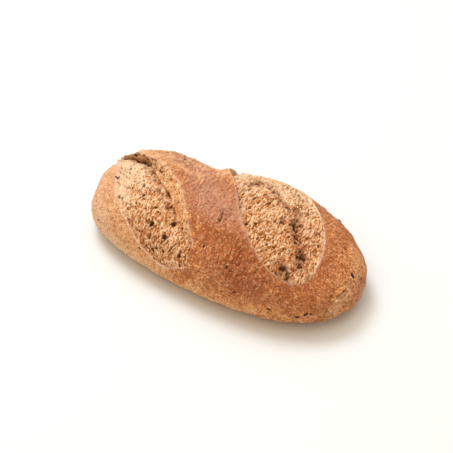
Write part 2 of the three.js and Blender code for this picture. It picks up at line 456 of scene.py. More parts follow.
def blisters(points, ragged):
    """Height of the blisters and dents, and how strongly the nicks and the creases beside blisters are
    darkened with painted shade.
    """
    height = np.zeros(len(points))
    nicks = np.zeros(len(points))
    for place, radius, rise in BLISTERS:
        gap = np.linalg.norm(points - place, axis=-1) / radius
        shape = smooth(1 - gap + 0.25 * ragged)
        height += rise * shape
        if radius < NICK_RADIUS and rise < 0:
            nicks = np.maximum(nicks, shape)
        if rise > CREASED_RISE:
            behind = smooth(0.5 + (points - place) @ CREASE_WAY / radius)
            crease = behind * bump((gap - 1.1) / 0.22)
            height -= 1.6 * crease
            nicks = np.maximum(nicks, crease)
    return height, nicks


def end_seam(points, ragged, rough):
    """Height of the crust along the seam, how far it flaked beyond it, and the depth of its crevice."""
    gap, side = distance_to_path(points, SEAM)
    gap = gap + 0.9 * np.abs(ragged)
    raised = smooth((points[:, 2] - 7) / 8)
    height = raised * (0.9 * bump((gap - 1.3) / 0.9) * (side < 0) - 1.8 * bump(gap / 0.9))
    height += raised * 1.2 * smooth(1.25 - gap / 8) * (side > 0) * (rough - 0.4)
    flaking = smooth(1.25 - gap / 11) * (side > 0)
    return height, flaking, 1.6 * bump(gap / 0.8)


def crust_relief(points, settings):
    """Height of the crust above the round form, its flaking at the end seam, its nicks and fine relief, which
    also paints shade into its low places and light onto its raised ones.
    """
    wrinkled = middle_band(points)
    dimples = layered(points, 7, 73, 3)
    leather = 1 - 2 * np.abs(noise(points, 2.6, 76))
    fine = noise(points, 1.3, 79)
    folds = np.minimum(2.4 * np.abs(noise(points * (1.0, 0.42, 0.6), 2.4, 81)), 1)
    pimples = pits(points[:, :2] + 0.6 * points[:, 2:], 3.6, 0.4, (0.5, 1.1), 83)
    texture = (0.8 * dimples + 0.25 * leather + 0.7 * fine + 0.9 * pimples - 0.4) * (1 + 0.7 * wrinkled)
    blistered, nicks = blisters(points, dimples)
    seamed, flaking, crevice = end_seam(points, dimples, folds + fine)
    height = 0.7 * layered(points, 38, 71, 2) + settings.crust_texture * MILLIMETRES * texture
    height += 1.6 * wrinkled * (folds - 0.6) + blistered + seamed
    # the seam's crevice and the deepest dimples lower the relief, so that they get painted shade
    hollow = crevice + np.maximum(-texture - 0.7, 0)
    relief = texture - 0.6 * dimples + 2.8 * wrinkled * (folds - 0.6) - hollow
    return height, flaking, nicks, np.clip(relief, -1.3, 1.3)


def bake_colour(points):
    """How far the crust browns, from 0, pale, to 1, dark, paler with painted light where it lies in shade,
    its dry dusting, and how pale the crumb stayed.
    """
    x, y, z = points.T
    band = middle_band(points)
    toast = 0.59 + 0.001 * x
    toast -= 0.24 * smooth((-x - 50) / 45)  # the -X end, partly its own paler bake and partly painted light that brightens it
    toast -= 0.58 * bump((x + 25) / 34) * smooth((y + 2) / 28)  # the back, behind the first slash
    toast -= 0.24 * smooth((x - 74) / 18)  # the +X end, paler as painted light where little light reaches it
    toast += 0.62 * band  # the strip between the slashes
    toast -= 0.3 * smooth((-x - 20) / 40) * smooth((-y - 20) / 20)  # the front, below the first slash, paler as painted light where it lies in shade
    toast -= 0.3 * smooth((-y - 26) / 12) * smooth((28 - z) / 12)  # low on the front, paler as painted light where it lies in shade
    toast += 0.1 * bump(np.hypot(x - 82, (y + 24) * 0.8) / 30)  # round the end seam
    toast -= 0.2 * smooth((x - 86) / 8) * smooth((-y - 8) / 10)  # beyond the end seam, paler as painted light where it lies in shade
    toast += 0.05 * layered(points, 24, 91) + 0.03 * noise(points, 5, 95)
    dust = 0.34 * band * smooth((y + 30) / 18) + 0.35 * smooth((-x - 40) / 50)
    dust += 0.1 * noise(points, 18, 97)
    fresh = 0.55 * smooth((-x - 30 + 0.4 * y) / 45) + 0.3 * smooth((y - 4) / 24) - 0.05
    fresh += 0.12 * noise(points, 12, 99)
    return toast, np.clip(dust, 0, 1), fresh


# ---------------------------------------------------------------------------------------------------------
# The loaf mesh
# ---------------------------------------------------------------------------------------------------------


def grid_normals(grid):
    """Outward directions on a closed-round grid of rings and sides."""
    along = np.gradient(grid, axis=0)
    around = np.roll(grid, -1, axis=1) - np.roll(grid, 1, axis=1)
    return unit(np.cross(along, around))


RIM_WIDTH = 0.72  # half width of the pale line on the rim, and of the weaker one on the ear
CREST_WIDTH = 0.7
CREST_STRENGTH = 0.32
POINT_FACTS = ("crumb", "inner", "rim", "hollow", "strings", "browned")


def open_slash(slash, points, facts, settings):
    """How a slash moves each point, and how far each lies in its opening. facts takes its finish."""
    at = slash.locate(points)
    lift = eased(at.place, slash.lift) + smooth((-at.a - 8) / 20) * eased(at.place, slash.far_lift)
    lift *= at.open_share
    lean = eased(at.place, slash.lean) * at.open_share
    near = np.flatnonzero((at.gap > -2.5) & (at.open_share > 0))
    part = SimpleNamespace(**{name: value[near] for name, value in vars(at).items()})
    inside = smooth(part.gap / 0.9 + 0.3) * smooth(part.open_share * 3)
    bared = smooth((1 - part.place) * 12 + 0.5)
    relief, hollow, strings = torn_crumb(slash, part, settings)
    split, browned = tears(slash, part, strings)
    lift[near] += inside * (relief * (0.8 + 0.2 * bared) - split)
    worn = slash.lip * (0.5 + 0.5 * smooth(0.8 + layered(points[near], 7, slash.seed + 61)))
    edge = worn * bump(part.rim_gap / RIM_WIDTH) * smooth(part.open_share * 3)
    crest = CREST_STRENGTH * bump(part.ear_gap / CREST_WIDTH) * smooth(part.open_share * 2)
    finish = {
        "crumb": inside * bared,
        "inner": inside * (1 - bared),
        "rim": np.maximum(edge, crest),
        "browned": inside * browned,
        # painted shade: pores and splits take the dark pore colour
        "hollow": inside * np.maximum(hollow, smooth(split / 2.7)),
    }
    for name, value in finish.items():
        facts[name][near] = np.maximum(facts[name][near], value)
    facts["strings"][near] = np.where(inside > 0.02, strings, facts["strings"][near])
    opened = np.zeros(len(points))
    opened[near] = inside
    return lift[:, None] * slash.out + lean[:, None] * slash.across, opened


def shape_loaf(rings, upper, under, settings):
    """Every point of the loaf, and what the finish needs to know at each."""
    places = ring_places(rings)
    turns = side_turns(upper, under)
    grid = round_loaf(places[:, None], turns[None, :])
    ends = np.array([[-DESIGN_LENGTH / 2, 0, END_HEIGHT], [DESIGN_LENGTH / 2, 0, END_HEIGHT]])
    points = np.concatenate([ends[:1], grid.reshape(-1, 3), ends[1:]])
    normals = np.concatenate([[[-1, 0, 0]], grid_normals(grid).reshape(-1, 3), [[1, 0, 0]]])
    ring_share = np.concatenate([[0], np.repeat(np.arange(1, rings) / rings, len(turns)), [1]])
    turn = np.concatenate([[0], np.tile(turns, rings - 1), [0]])

    facts = {name: np.zeros(len(points)) for name in POINT_FACTS}
    # the crust's nicks and creases go in with the hollows, which are darkened with painted shade
    crust, facts["flaking"], facts["hollow"], facts["relief"] = crust_relief(points, settings)
    moved = points.copy()
    for slash in map(Slash, (FIRST_SLASH, SECOND_SLASH)):
        move, opened = open_slash(slash, points, facts, settings)
        moved += move
        crust *= 1 - opened

    off_base = smooth((points[:, 2] - 0.5) / 4)
    moved += (crust * off_base)[:, None] * normals
    moved[:, 2] = np.maximum(moved[:, 2], 0.0)  # its weight presses the base flat
    moved[:, 1] -= (grid[..., 1].max() + grid[..., 1].min()) / 2  # the origin is the footprint's middle
    facts["toast"], facts["dust"], facts["fresh"] = bake_colour(points)
    facts["ring_share"] = ring_share
    facts["turn_sin"], facts["turn_cos"] = np.sin(turn), np.cos(turn)
    return moved * UNIT, facts


def grid_faces(rings, sides):
    """Corner lists of a grid closed with a fan at each end, facing outwards."""
    ring, side = np.meshgrid(np.arange(rings - 2), np.arange(sides), indexing="ij")
    here, beside = 1 + ring * sides + side, 1 + ring * sides + (side + 1) % sides
    quads = np.stack([here, here + sides, beside + sides, beside], axis=-1).reshape(-1, 4)
    side = np.arange(sides)
    first, last = 1 + side, 1 + (rings - 2) * sides + side
    end = 1 + (rings - 1) * sides
    start_fan = np.stack([0 * side, first, 1 + (side + 1) % sides], axis=-1)
    end_fan = np.stack([0 * side + end, 1 + (rings - 2) * sides + (side + 1) % sides, last], axis=-1)
    return quads, np.concatenate([start_fan, end_fan])


def mesh_of(name, points, quads, triangles, facts):
    """A mesh from arrays of points and corners, with one number per point for each named fact."""
    mesh = bpy.data.meshes.new(name)
    mesh.vertices.add(len(points))
    mesh.vertices.foreach_set("co", points.astype(np.float32).ravel())
    corners = np.concatenate([quads.ravel(), triangles.ravel()]).astype(np.int32)
    mesh.loops.add(len(corners))
    mesh.loops.foreach_set("vertex_index", corners)
    sizes = np.concatenate([np.full(len(quads), 4), np.full(len(triangles), 3)])
    mesh.polygons.add(len(sizes))
    mesh.polygons.foreach_set("loop_start", (np.cumsum(sizes) - sizes).astype(np.int32))
    mesh.update(calc_edges=True)
    for fact, values in facts.items():
        layer = mesh.attributes.new(fact, "FLOAT", "POINT")
        layer.data.foreach_set("value", values.astype(np.float32))
    return mesh


def applied(piece):
    """The piece's mesh with its modifiers worked in, as a plain mesh."""
    graph = bpy.context.evaluated_depsgraph_get()
    graph.update()
    ready = piece.evaluated_get(graph)
    return bpy.data.meshes.new_from_object(ready, preserve_all_data_layers=True, depsgraph=graph)


def point_places(mesh):
    """Where a mesh's points are, as an array."""
    places = np.empty(len(mesh.vertices) * 3, np.float32)
    mesh.vertices.foreach_get("co", places)
    return places.reshape(-1, 3)


def read(mesh, fact):
    """The number that each point holds for a named fact."""
    values = np.empty(len(mesh.vertices), np.float32)
    mesh.attributes[fact].data.foreach_get("value", values)
    return values


UV_TOP_SHARE = 0.84  # how much of the map's height the top and sides take; the base has the rest
UV_TURN = math.radians(126)  # how far round from the crown the top's part of the map reaches
UV_SLACK = 1.06  # a face counted with the top may reach past that turn by this share
UV_FILL = 0.98  # how much of its share of the map the top fills
UV_MARGIN = 0.004


def lay_out_map(mesh):
    """Unroll the top and sides into one sheet and the base into another below it, without overlaps."""
    mesh.calc_loop_triangles()
    corner_point = np.empty(len(mesh.loops), np.int32)
    mesh.loops.foreach_get("vertex_index", corner_point)
    corners = corner_point.reshape(-1, 3)
    sin, cos, share = (read(mesh, name)[corners] for name in ("turn_sin", "turn_cos", "ring_share"))
    middle = np.arctan2(sin.sum(1), cos.sum(1))[:, None]
    off_middle = sin * np.cos(middle) - cos * np.sin(middle)
    near_middle = cos * np.cos(middle) + sin * np.sin(middle)
    turn = middle + np.arctan2(off_middle, near_middle)
    turnless = np.hypot(sin, cos) < 0.3  # points merged from all round a tip have no turn of their own
    turn = np.where(turnless, middle, turn)
    places = point_places(mesh)[corners]
    is_base = np.abs(middle) > UV_TURN
    top_v = 1 - UV_TOP_SHARE / 2 + turn / (UV_TURN * UV_SLACK) * UV_TOP_SHARE / 2 * UV_FILL
    low, high = places.reshape(-1, 3).min(0), places.reshape(-1, 3).max(0)
    base_u = (places[..., 0] - low[0]) / (high[0] - low[0])
    base_v = (places[..., 1] - low[1]) / (high[1] - low[1]) * (1 - UV_TOP_SHARE - 3 * UV_MARGIN)
    u = np.where(is_base, base_u, share)
    v = np.where(is_base, base_v, top_v)
    layer = mesh.uv_layers.new(name="OFBake")
    pairs = np.stack([u, v], axis=-1) * (1 - 2 * UV_MARGIN) + UV_MARGIN
    layer.data.foreach_set("uv", pairs.astype(np.float32).ravel())


# ---------------------------------------------------------------------------------------------------------
# Node trees
# ---------------------------------------------------------------------------------------------------------


class Tree:
    """Short words for building a node tree: add makes a node, and values may be numbers or other sockets."""

    def __init__(self, tree):
        self.tree = tree
        tree.nodes.clear()

    def add(self, kind, values=None, **settings):
        node = self.tree.nodes.new(kind)
        for name, value in settings.items():
            setattr(node, name, value)
        for name, value in (values or {}).items():
            self.set(node.inputs[name], value)
        return node

    def set(self, socket, value):
        if isinstance(value, bpy.types.NodeSocket):
            self.tree.links.new(value, socket)
        elif socket.type == "RGBA":
            socket.default_value = (*value[:3], 1.0)
        else:
            socket.default_value = value

    def math(self, operation, first, second, clamp=False):
        node = self.add("ShaderNodeMath", {0: first, 1: second}, operation=operation, use_clamp=clamp)
        return node.outputs[0]

    def noise(self, place, scale, detail, roughness, distortion=0.0):
        node = self.add("ShaderNodeTexNoise", {"Vector": place, "Scale": scale, "Detail": detail,
                                               "Roughness": roughness, "Distortion": distortion})
        return node.outputs["Fac"]

    def remap(self, value, low, high, to_low=0.0, to_high=1.0):
        node = self.add("ShaderNodeMapRange", {"Value": value, "From Min": low, "From Max": high,
                                               "To Min": to_low, "To Max": to_high}, clamp=True)
        return node.outputs[0]

    def ramp(self, value, stops):
        node = self.add("ShaderNodeValToRGB", {"Fac": value})
        elements = node.color_ramp.elements
        while len(elements) < len(stops):
            elements.new(0.5)
        for element, (position, colour) in zip(elements, stops):
            element.position = position
            element.color = (*colour[:3], 1.0)
        return node.outputs[0]

    def mix(self, factor, first, second):
        node = self.add("ShaderNodeMix", data_type="RGBA")
        for socket, value in zip((node.inputs[0], node.inputs[6], node.inputs[7]), (factor, first, second)):
            self.set(socket, value)
        return node.outputs[2]

    def attribute(self, name):
        return self.add("ShaderNodeAttribute", attribute_name=name).outputs["Fac"]

    def finish(self, colour, roughness, shine, relief, strength, depth):
        """The shader, with a relief that is depth metres deep, and the material's output."""
        bumps = self.add("ShaderNodeBump", {"Strength": strength, "Distance": depth, "Height": relief})
        shader = self.add("ShaderNodeBsdfPrincipled", {
            "Base Color": colour, "Roughness": roughness, "Normal": bumps.outputs[0],
            "Specular IOR Level": shine})
        self.add("ShaderNodeOutputMaterial", {0: shader.outputs[0]})


def new_material(name):
    material = bpy.data.materials.new(name)
    material.use_nodes = True
    return material, Tree(material.node_tree)


def crust_colour(tree, colours, mottle, grain, cavity):
    """Crust that browns with the loaf's own bake and with painted light and shade, dusted and flaking in
    places, with painted shade in its fine pits and painted highlights on its fine tops.
    """
    toast, relief, flaking, dust = (tree.attribute(name) for name in ("toast", "relief", "flaking", "dust"))
    brown = tree.math("ADD", toast, tree.remap(mottle, 0.25, 0.75, -0.09, 0.09))
    brown = tree.math("ADD", brown, tree.remap(grain, 0.3, 0.7, -0.4, 0.4))
    # painted shade and light: the crust browns darker where its relief is low and paler where it is raised
    brown = tree.math("SUBTRACT", brown, tree.math("MULTIPLY", relief, 0.38))
    crust = tree.ramp(brown, [(0.0, colours.pale_crust), (0.35, colours.golden_crust),
                              (0.65, colours.brown_crust), (1.0, colours.dark_crust)])
    dusting = tree.math("MULTIPLY", dust, tree.remap(grain, 0.35, 0.65, 0.4, 1.6), True)
    crust = tree.mix(dusting, crust, colours.flour)
    # the flaked strip is paler, partly its own paler crust and partly painted light where it lies in shade
    crust = tree.mix(tree.math("MULTIPLY", flaking, 0.35), crust, colours.pale_crust)
    # painted shade in the fine pits of the crust and painted highlights on its fine tops
    crust = tree.mix(tree.remap(cavity, 0.47, 0.3, 0.0, 0.75), crust, colours.dark_crust)
    return tree.mix(tree.remap(cavity, 0.54, 0.7, 0.0, 0.55), crust, colours.pale_crust)


def bran_dots(tree, place):
    """Where the pale and the dark dots of bran are."""
    speck = tree.add("ShaderNodeTexVoronoi", {"Vector": place, "Scale": 640.0, "Randomness": 1.0})
    chance = tree.add("ShaderNodeSeparateColor", {0: speck.outputs["Color"]}).outputs[0]
    dot = tree.remap(speck.outputs["Distance"], 0.42, 0.2)
    pale = tree.math("MULTIPLY", dot, tree.math("GREATER_THAN", chance, 0.7))
    dark = tree.math("MULTIPLY", dot, tree.math("LESS_THAN", chance, 0.07))
    return pale, dark


def crumb_colour(tree, colours, place, mottle):
    """Torn crumb: pale on its raised strings and deeper between them as painted light and shade, and darkened
    round the splits with painted shade.
    """
    strings, fresh, browned = (tree.attribute(name) for name in ("strings", "fresh", "browned"))
    stretch = tree.add("ShaderNodeVectorMath", {0: place, 1: (1.0, 0.4, 0.7)}, operation="MULTIPLY")
    web = tree.noise(stretch.outputs[0], 900, 4, 0.65, 0.3)
    # painted light and shade: the raised strings pale and the low places between them deep, with random tone
    # from the web
    face = tree.math("ADD", tree.math("MULTIPLY", strings, 0.6), tree.remap(web, 0.32, 0.68, -0.38, 0.7))
    face = tree.math("ADD", face, tree.remap(mottle, 0.3, 0.7, -0.15, 0.15))
    face = tree.math("ADD", face, tree.math("MULTIPLY", fresh, 0.8))
    torn = tree.ramp(face, [(0.14, colours.deep_crumb), (0.46, colours.mid_crumb),
                            (0.86, colours.pale_crumb)])
    # painted shade: the crumb round the splits darkens towards the deep colour
    return tree.mix(tree.math("MULTIPLY", browned, 0.6), torn, colours.deep_crumb)


def bread_material(colours):
    """Baked crust with bran in it, pale torn crumb in the slashes, and pores darkened with painted shade."""
    material, tree = new_material("baked_loaf")
    place = tree.add("ShaderNodeTexCoord").outputs["Object"]
    crumb, inner, rim, hollow = (tree.attribute(name) for name in ("crumb", "inner", "rim", "hollow"))
    mottle = tree.noise(place, 210, 4, 0.6)
    grain = tree.noise(place, 950, 2, 0.7)
    cavity = tree.noise(place, 680, 3, 0.75)

    pale_dot, dark_dot = bran_dots(tree, place)
    crust = crust_colour(tree, colours, mottle, grain, cavity)
    crust = tree.mix(tree.math("MULTIPLY", pale_dot, 0.5), crust, colours.pale_speck)
    crust = tree.mix(tree.math("MULTIPLY", dark_dot, 0.6), crust, colours.bran)
    torn = crumb_colour(tree, colours, place, mottle)
    flap = tree.mix(0.4, torn, colours.golden_crust)
    surface = tree.mix(crumb, tree.mix(inner, crust, flap), torn)
    surface = tree.mix(tree.math("MULTIPLY", dark_dot, 0.55), surface, colours.bran)
    surface = tree.mix(rim, surface, colours.rim)
    # painted shade: pores, splits, nicks and creases darken towards the pore colour
    surface = tree.mix(tree.remap(hollow, 0.15, 1.0, 0.0, 0.95), surface, colours.pore)

    open_face = tree.math("MULTIPLY", tree.math("MAXIMUM", crumb, inner), 0.25)
    roughness = tree.math("ADD", tree.remap(mottle, 0.3, 0.7, 0.52, 0.7), open_face, True)
    ripple = tree.math("ADD", mottle, tree.math("ADD", tree.math("MULTIPLY", grain, 0.6), cavity))
    tree.finish(surface, roughness, 0.2, ripple, 1.0, 0.0021)
    return material


def seed_material(name, dark, light, roughness):
    """A husk whose tone changes from seed to seed and a little along each one."""
    material, tree = new_material(name)
    place = tree.add("ShaderNodeTexCoord").outputs["Object"]
    streak = tree.noise(place, 1500, 3, 0.6)
    own_tone = tree.math("MULTIPLY", tree.attribute("tone"), 0.7)
    tone = tree.math("ADD", own_tone, tree.math("MULTIPLY", streak, 0.3))
    tree.finish(tree.ramp(tone, [(0.15, dark), (0.85, light)]), roughness, 0.25, streak, 0.4, 0.0001)
    return material


def scatter_tree(name):
    """Geometry Nodes: lay grains where an attribute allows them, each sunk, turned and sized anew."""
    group = bpy.data.node_groups.new(name, "GeometryNodeTree")
    tree = Tree(group)
    face = group.interface
    face.new_socket("Geometry", in_out="INPUT", socket_type="NodeSocketGeometry")
    sockets = (("Density", "Float"), ("Ground", "String"), ("Length", "Float"), ("Width", "Float"),
               ("Thickness", "Float"), ("Smallest", "Float"), ("Sink", "Float"), ("Seed", "Int"),
               ("Finish", "Material"))
    for label, kind in sockets:
        face.new_socket(label, in_out="INPUT", socket_type=f"NodeSocket{kind}")
    face.new_socket("Geometry", in_out="OUTPUT", socket_type="NodeSocketGeometry")
    given = tree.add("NodeGroupInput").outputs

    ground = tree.add("GeometryNodeInputNamedAttribute", {"Name": given["Ground"]}, data_type="FLOAT")
    density = tree.math("MULTIPLY", ground.outputs[0], given["Density"])
    spread = tree.add("GeometryNodeDistributePointsOnFaces", {"Mesh": given["Geometry"], "Density": density,
                                                              "Seed": given["Seed"]})
    grain = tree.add("GeometryNodeMeshUVSphere", {"Segments": 8, "Rings": 5, "Radius": 0.5})
    size = tree.add("ShaderNodeCombineXYZ", {0: given["Length"], 1: given["Width"], 2: given["Thickness"]})
    shaped = tree.add("GeometryNodeTransform", {"Geometry": grain.outputs[0], "Scale": size.outputs[0]})
    angle = tree.add("FunctionNodeRandomValue", {2: 0.0, 3: 2 * math.pi, "Seed": given["Seed"]},
                     data_type="FLOAT")
    spin = tree.add("FunctionNodeAxisAngleToRotation", {"Axis": (0, 0, 1), "Angle": angle.outputs[1]})
    turned = tree.add("FunctionNodeRotateRotation", {0: spread.outputs["Rotation"], 1: spin.outputs[0]},
                      rotation_space="LOCAL")
    scale = tree.add("FunctionNodeRandomValue", {2: given["Smallest"], 3: 1.0, "Seed": given["Seed"]},
                     data_type="FLOAT")
    down = tree.math("MULTIPLY", given["Sink"], -1.0)
    push = tree.add("ShaderNodeVectorMath", {0: spread.outputs["Normal"], "Scale": down}, operation="SCALE")
    sunk = tree.add("GeometryNodeSetPosition", {"Geometry": spread.outputs[0], "Offset": push.outputs[0]})
    laid = tree.add("GeometryNodeInstanceOnPoints", {
        "Points": sunk.outputs[0], "Instance": shaped.outputs[0],
        "Rotation": turned.outputs[0], "Scale": scale.outputs[1]})
    tone = tree.add("FunctionNodeRandomValue", {2: 0.0, 3: 1.0, "Seed": given["Seed"]}, data_type="FLOAT")
    toned = tree.add("GeometryNodeStoreNamedAttribute",
                     {"Geometry": laid.outputs[0], "Name": "tone", "Value": tone.outputs[1]},
                     data_type="FLOAT", domain="INSTANCE")
    real = tree.add("GeometryNodeRealizeInstances", {0: toned.outputs[0]})
    even = tree.add("GeometryNodeSetShadeSmooth", {0: real.outputs[0]})
    done = tree.add("GeometryNodeSetMaterial", {"Geometry": even.outputs[0], "Material": given["Finish"]})
    tree.add("NodeGroupOutput", {0: done.outputs[0]})
    return group


def scattered(name, loaf_mesh, **inputs):
    """A plain mesh of grains spread over the loaf by the scatter tree."""
    holder = bpy.data.objects.new(name, loaf_mesh)
    bpy.context.collection.objects.link(holder)
    spread = holder.modifiers.new("spread", "NODES")
    spread.node_group = bpy.data.node_groups.get("grain_scatter") or scatter_tree("grain_scatter")
    for item in spread.node_group.interface.items_tree:
        if item.in_out == "INPUT" and item.name in inputs:
            spread[item.identifier] = inputs[item.name]
    mesh = applied(holder)
    bpy.data.objects.remove(holder)
    mesh.name = name
    return mesh


def single_seeds(name, loaf_mesh, places, length, finish):
    """A mesh of seeds at chosen places, each lying on the crust and turned by its own angle."""
    skin = point_places(loaf_mesh)
    seeds = bmesh.new()
    for place, turn, share in places:
        gap = np.linalg.norm(skin - np.array(place) * UNIT, axis=-1)
        nearest = loaf_mesh.vertices[int(np.argmin(gap))]
        stand = nearest.normal.to_track_quat("Z", "Y") @ Quaternion((0, 0, 1), turn)
        size = Vector((length, length * 0.5, length * 0.3)) * share
        spot = Matrix.LocRotScale(nearest.co, stand, size)
        bmesh.ops.create_uvsphere(seeds, u_segments=12, v_segments=7, radius=0.5, matrix=spot)
    mesh = bpy.data.meshes.new(name)
    seeds.to_mesh(mesh)
    seeds.free()
    mesh.shade_smooth()
    mesh.materials.append(finish)
    return mesh


# ---------------------------------------------------------------------------------------------------------
# Settings
# ---------------------------------------------------------------------------------------------------------


def colour_property(name, default, description):
    return FloatVectorProperty(
        name=name, default=default, description=description, subtype="COLOR", min=0, max=1)


def length_property(name, default, description):
    return FloatProperty(name=name, default=default, description=description, unit="LENGTH", min=0)


def angle_property(name, degrees, description):
    return FloatProperty(
        name=name, default=math.radians(degrees), description=description, subtype="ANGLE")


def power_property(name, default, description):
    return FloatProperty(name=name, default=default, description=description, unit="POWER", min=0)


def density_property(name, default, description):
    return FloatProperty(name=name, default=default, description=description, min=0)


class BaguetteLoafSettings(bpy.types.PropertyGroup):
    """Relief of the crust and of the torn crumb."""

    string_height: length_property("String height", 0.0011, "Height of the torn strings of crumb")
    crumb_lumps: length_property("Crumb lumps", 0.0006, "Height of the crumb's broad lumps")
    pore_depth: FloatProperty(
        name="Pore depth", description="Depth of a pore as a share of its radius", default=1.35,
        min=0, max=3, subtype="FACTOR")
    crust_texture: length_property("Crust texture", 0.0004, "Height of the crust's dimples and wrinkles")


class BaguetteColourSettings(bpy.types.PropertyGroup):
    """Colours of the loaf."""

    pale_crust: colour_property("Pale crust", (0.97, 0.66, 0.395), "Crust where it browned least")
    golden_crust: colour_property("Golden crust", (0.9, 0.45, 0.185), "Crust with a light bake")
    brown_crust: colour_property("Brown crust", (0.67, 0.24, 0.078), "Crust with a full bake")
    dark_crust: colour_property("Dark crust", (0.44, 0.12, 0.034), "Crust where it browned most")
    flour: colour_property("Flour", (0.92, 0.56, 0.41), "Dry dusting on one end and between the slashes")
    pale_crumb: colour_property("Pale crumb", (1.0, 0.72, 0.48), "Tops of the torn strings")
    mid_crumb: colour_property("Crumb", (0.78, 0.335, 0.12), "The torn face between the strings")
    # painted shade: the colour of the low places of the torn face and of the crumb round its splits
    deep_crumb: colour_property("Deep crumb", (0.38, 0.105, 0.025), "The lowest parts of the torn face")
    # painted shade: the near-black of pores, splits, nicks, creases and the cave under the ear
    pore: colour_property("Pore", (0.12, 0.04, 0.016), "Inside of pores, splits and the cave under the ear")
    rim: colour_property("Rim", (1.0, 0.73, 0.55), "The thin pale lip round each slash")
    pale_speck: colour_property("Pale speck", (0.78, 0.52, 0.3), "Pale bran specks in the crust")
    bran: colour_property("Bran", (0.09, 0.035, 0.025), "Dark bran specks in crust and crumb")


class BaguetteSeedSettings(bpy.types.PropertyGroup):
    """Seeds and grains baked into the crust."""

    flax_length: length_property("Flax length", 0.0046, "Length of a flax seed")
    fleck_length: length_property("Fleck length", 0.0016, "Length of a dark fleck of bran")
    flake_length: length_property("Flake length", 0.0012, "Length of a pale flake")
    flax_density: density_property("Flax density", 170, "Flax seeds for each square metre")
    fleck_density: density_property("Fleck density", 5000, "Dark flecks for each square metre")
    flake_density: density_property("Flake density", 16000, "Pale flakes for each square metre")
    scatter_seed: IntProperty(
        name="Scatter seed", description="Number that fixes where the grains lie", default=5, min=0)


class BaguetteStageSettings(bpy.types.PropertyGroup):
    """The camera, floor and lights."""

    azimuth: angle_property("Azimuth", 30.15, "Turn of the camera round the loaf")
    elevation: angle_property("Elevation", 46, "Height of the camera over the floor")
    distance: length_property("Distance", 0.8, "Camera to loaf")
    lens: FloatProperty(name="Lens", description="Focal length", default=94.53, min=1, unit="CAMERA")
    floor_colour: colour_property("Floor", (0.69, 0.7, 0.72), "The plain floor")
    sky_strength: FloatProperty(
        name="Sky", description="Strength of the even light", default=0.66, min=0, max=2, subtype="FACTOR")
    key_power: power_property("Key light", 10.6, "Power of the side light")
    top_power: power_property("Top light", 15.0, "Power of the panel overhead")
    fill_power: power_property("Fill light", 2.6, "Power of the front light")


# ---------------------------------------------------------------------------------------------------------
# Operators
# ---------------------------------------------------------------------------------------------------------

FINE_GRID = (560, 470, 90)  # rings, and sides over the top and under the belly
MOST_TRIANGLES = 196_000
OPEN_FACT = 0.1  # a point with more crumb, rim or flaking than this stays longer when the mesh is thinned
KEPT_WEIGHT = 0.45  # and this is its weight, where plain crust has 1
SINK = 0.12  # how much deeper a grain's middle lies than the crust, as a share of its thickness
GRAINS = (  # name, the ground it lies on, its length, width and thickness as shares, and its smallest size
    ("flax_seeds", "flax_ground", (1, 0.5, 0.24), 0.8),
    ("bran_flecks", "grain_ground", (1, 0.6, 0.4), 0.3),
    ("pale_flakes", "grain_ground", (1, 0.7, 0.3), 0.35),
)
GROUNDS = (("flax_ground", 0.5), ("grain_ground", 2.5))  # and how thickly each is sown on torn crumb
FLAX_PLACES = (  # where single seeds show on the crust, how each is turned, and its share of the full length
    ((94.5, -0.9, 32.6), 1.5, 1.0), ((97.9, 5.6, 26.2), 0.4, 0.6), ((74.3, -38.4, 18.4), 0.2, 0.8),
    ((79.4, -35.4, 20.3), 0.6, 0.9), ((81.5, -34.5, 20.5), 2.0, 0.6), ((56.7, -45, 22), -0.3, 0.7),
    ((24.6, -42.4, 41.2), 1.4, 0.6), ((4.4, -36.9, 45.7), 1.2, 0.6), ((5.3, -18.1, 54.4), 0.9, 0.55),
    ((-80.4, -34.7, 23.6), 0.3, 0.5), ((-40.9, -45, 27.4), -0.4, 0.6), ((82.8, 6, 42.4), 0.8, 0.5),
    ((-46.8, 25.8, 49.6), 0.5, 0.5), ((-78.6, -13.2, 46.4), 1.2, 0.7), ((-62, 34, 36), 0.7, 0.8),
    ((30, 47, 30), 0.1, 1.0), ((66, 38, 34), 1.3, 0.9), ((-12, 44, 32), -0.5, 0.9), ((-93, 8, 33), 1.1, 0.5),
)


class BAGUETTE_OT_loaf(bpy.types.Operator):
    """Bake the loaf: round form, opened slashes, torn crumb and crust in one closed mesh"""

    bl_idname = "baguette.loaf"
    bl_label = "Loaf"

    def execute(self, context):
        scene = context.scene
        rings, upper, under = FINE_GRID
        points, facts = shape_loaf(rings, upper, under, scene.baguette_loaf)
        mesh = mesh_of("crusty_loaf", points, *grid_faces(rings, upper + under), facts)
        piece = bpy.data.objects.new("crusty_loaf", mesh)
        scene.collection.objects.link(piece)
        self.weigh(piece, facts)
        thinner = piece.modifiers.new("thinner", "DECIMATE")
        thinner.ratio = min(1.0, MOST_TRIANGLES / (2 * (rings - 1) * (upper + under)))
        thinner.use_collapse_triangulate = True
        thinner.vertex_group = "plain"
        thinner.vertex_group_factor = 1.0
        light = applied(piece)
        piece.modifiers.remove(thinner)
        piece.data = light
        bpy.data.meshes.remove(mesh)
        light.name = "crusty_loaf"
        piece.vertex_groups.clear()
        light.shade_smooth()
        lay_out_map(light)
        light.materials.clear()
        light.materials.append(bread_material(scene.baguette_colours))
        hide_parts("loaf")
        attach(piece, "root")
        return {"FINISHED"}

    def weigh(self, piece, facts):
        """Mark the plain crust, where points may go first when the mesh is thinned."""
        plain = piece.vertex_groups.new(name="plain")
        bare = np.maximum(facts["crumb"], np.maximum(facts["inner"], facts["rim"]))
        bare = np.maximum(bare, facts["flaking"])
        plain.add(np.flatnonzero(bare < OPEN_FACT).tolist(), 1.0, "REPLACE")
        plain.add(np.flatnonzero(bare >= OPEN_FACT).tolist(), KEPT_WEIGHT, "REPLACE")


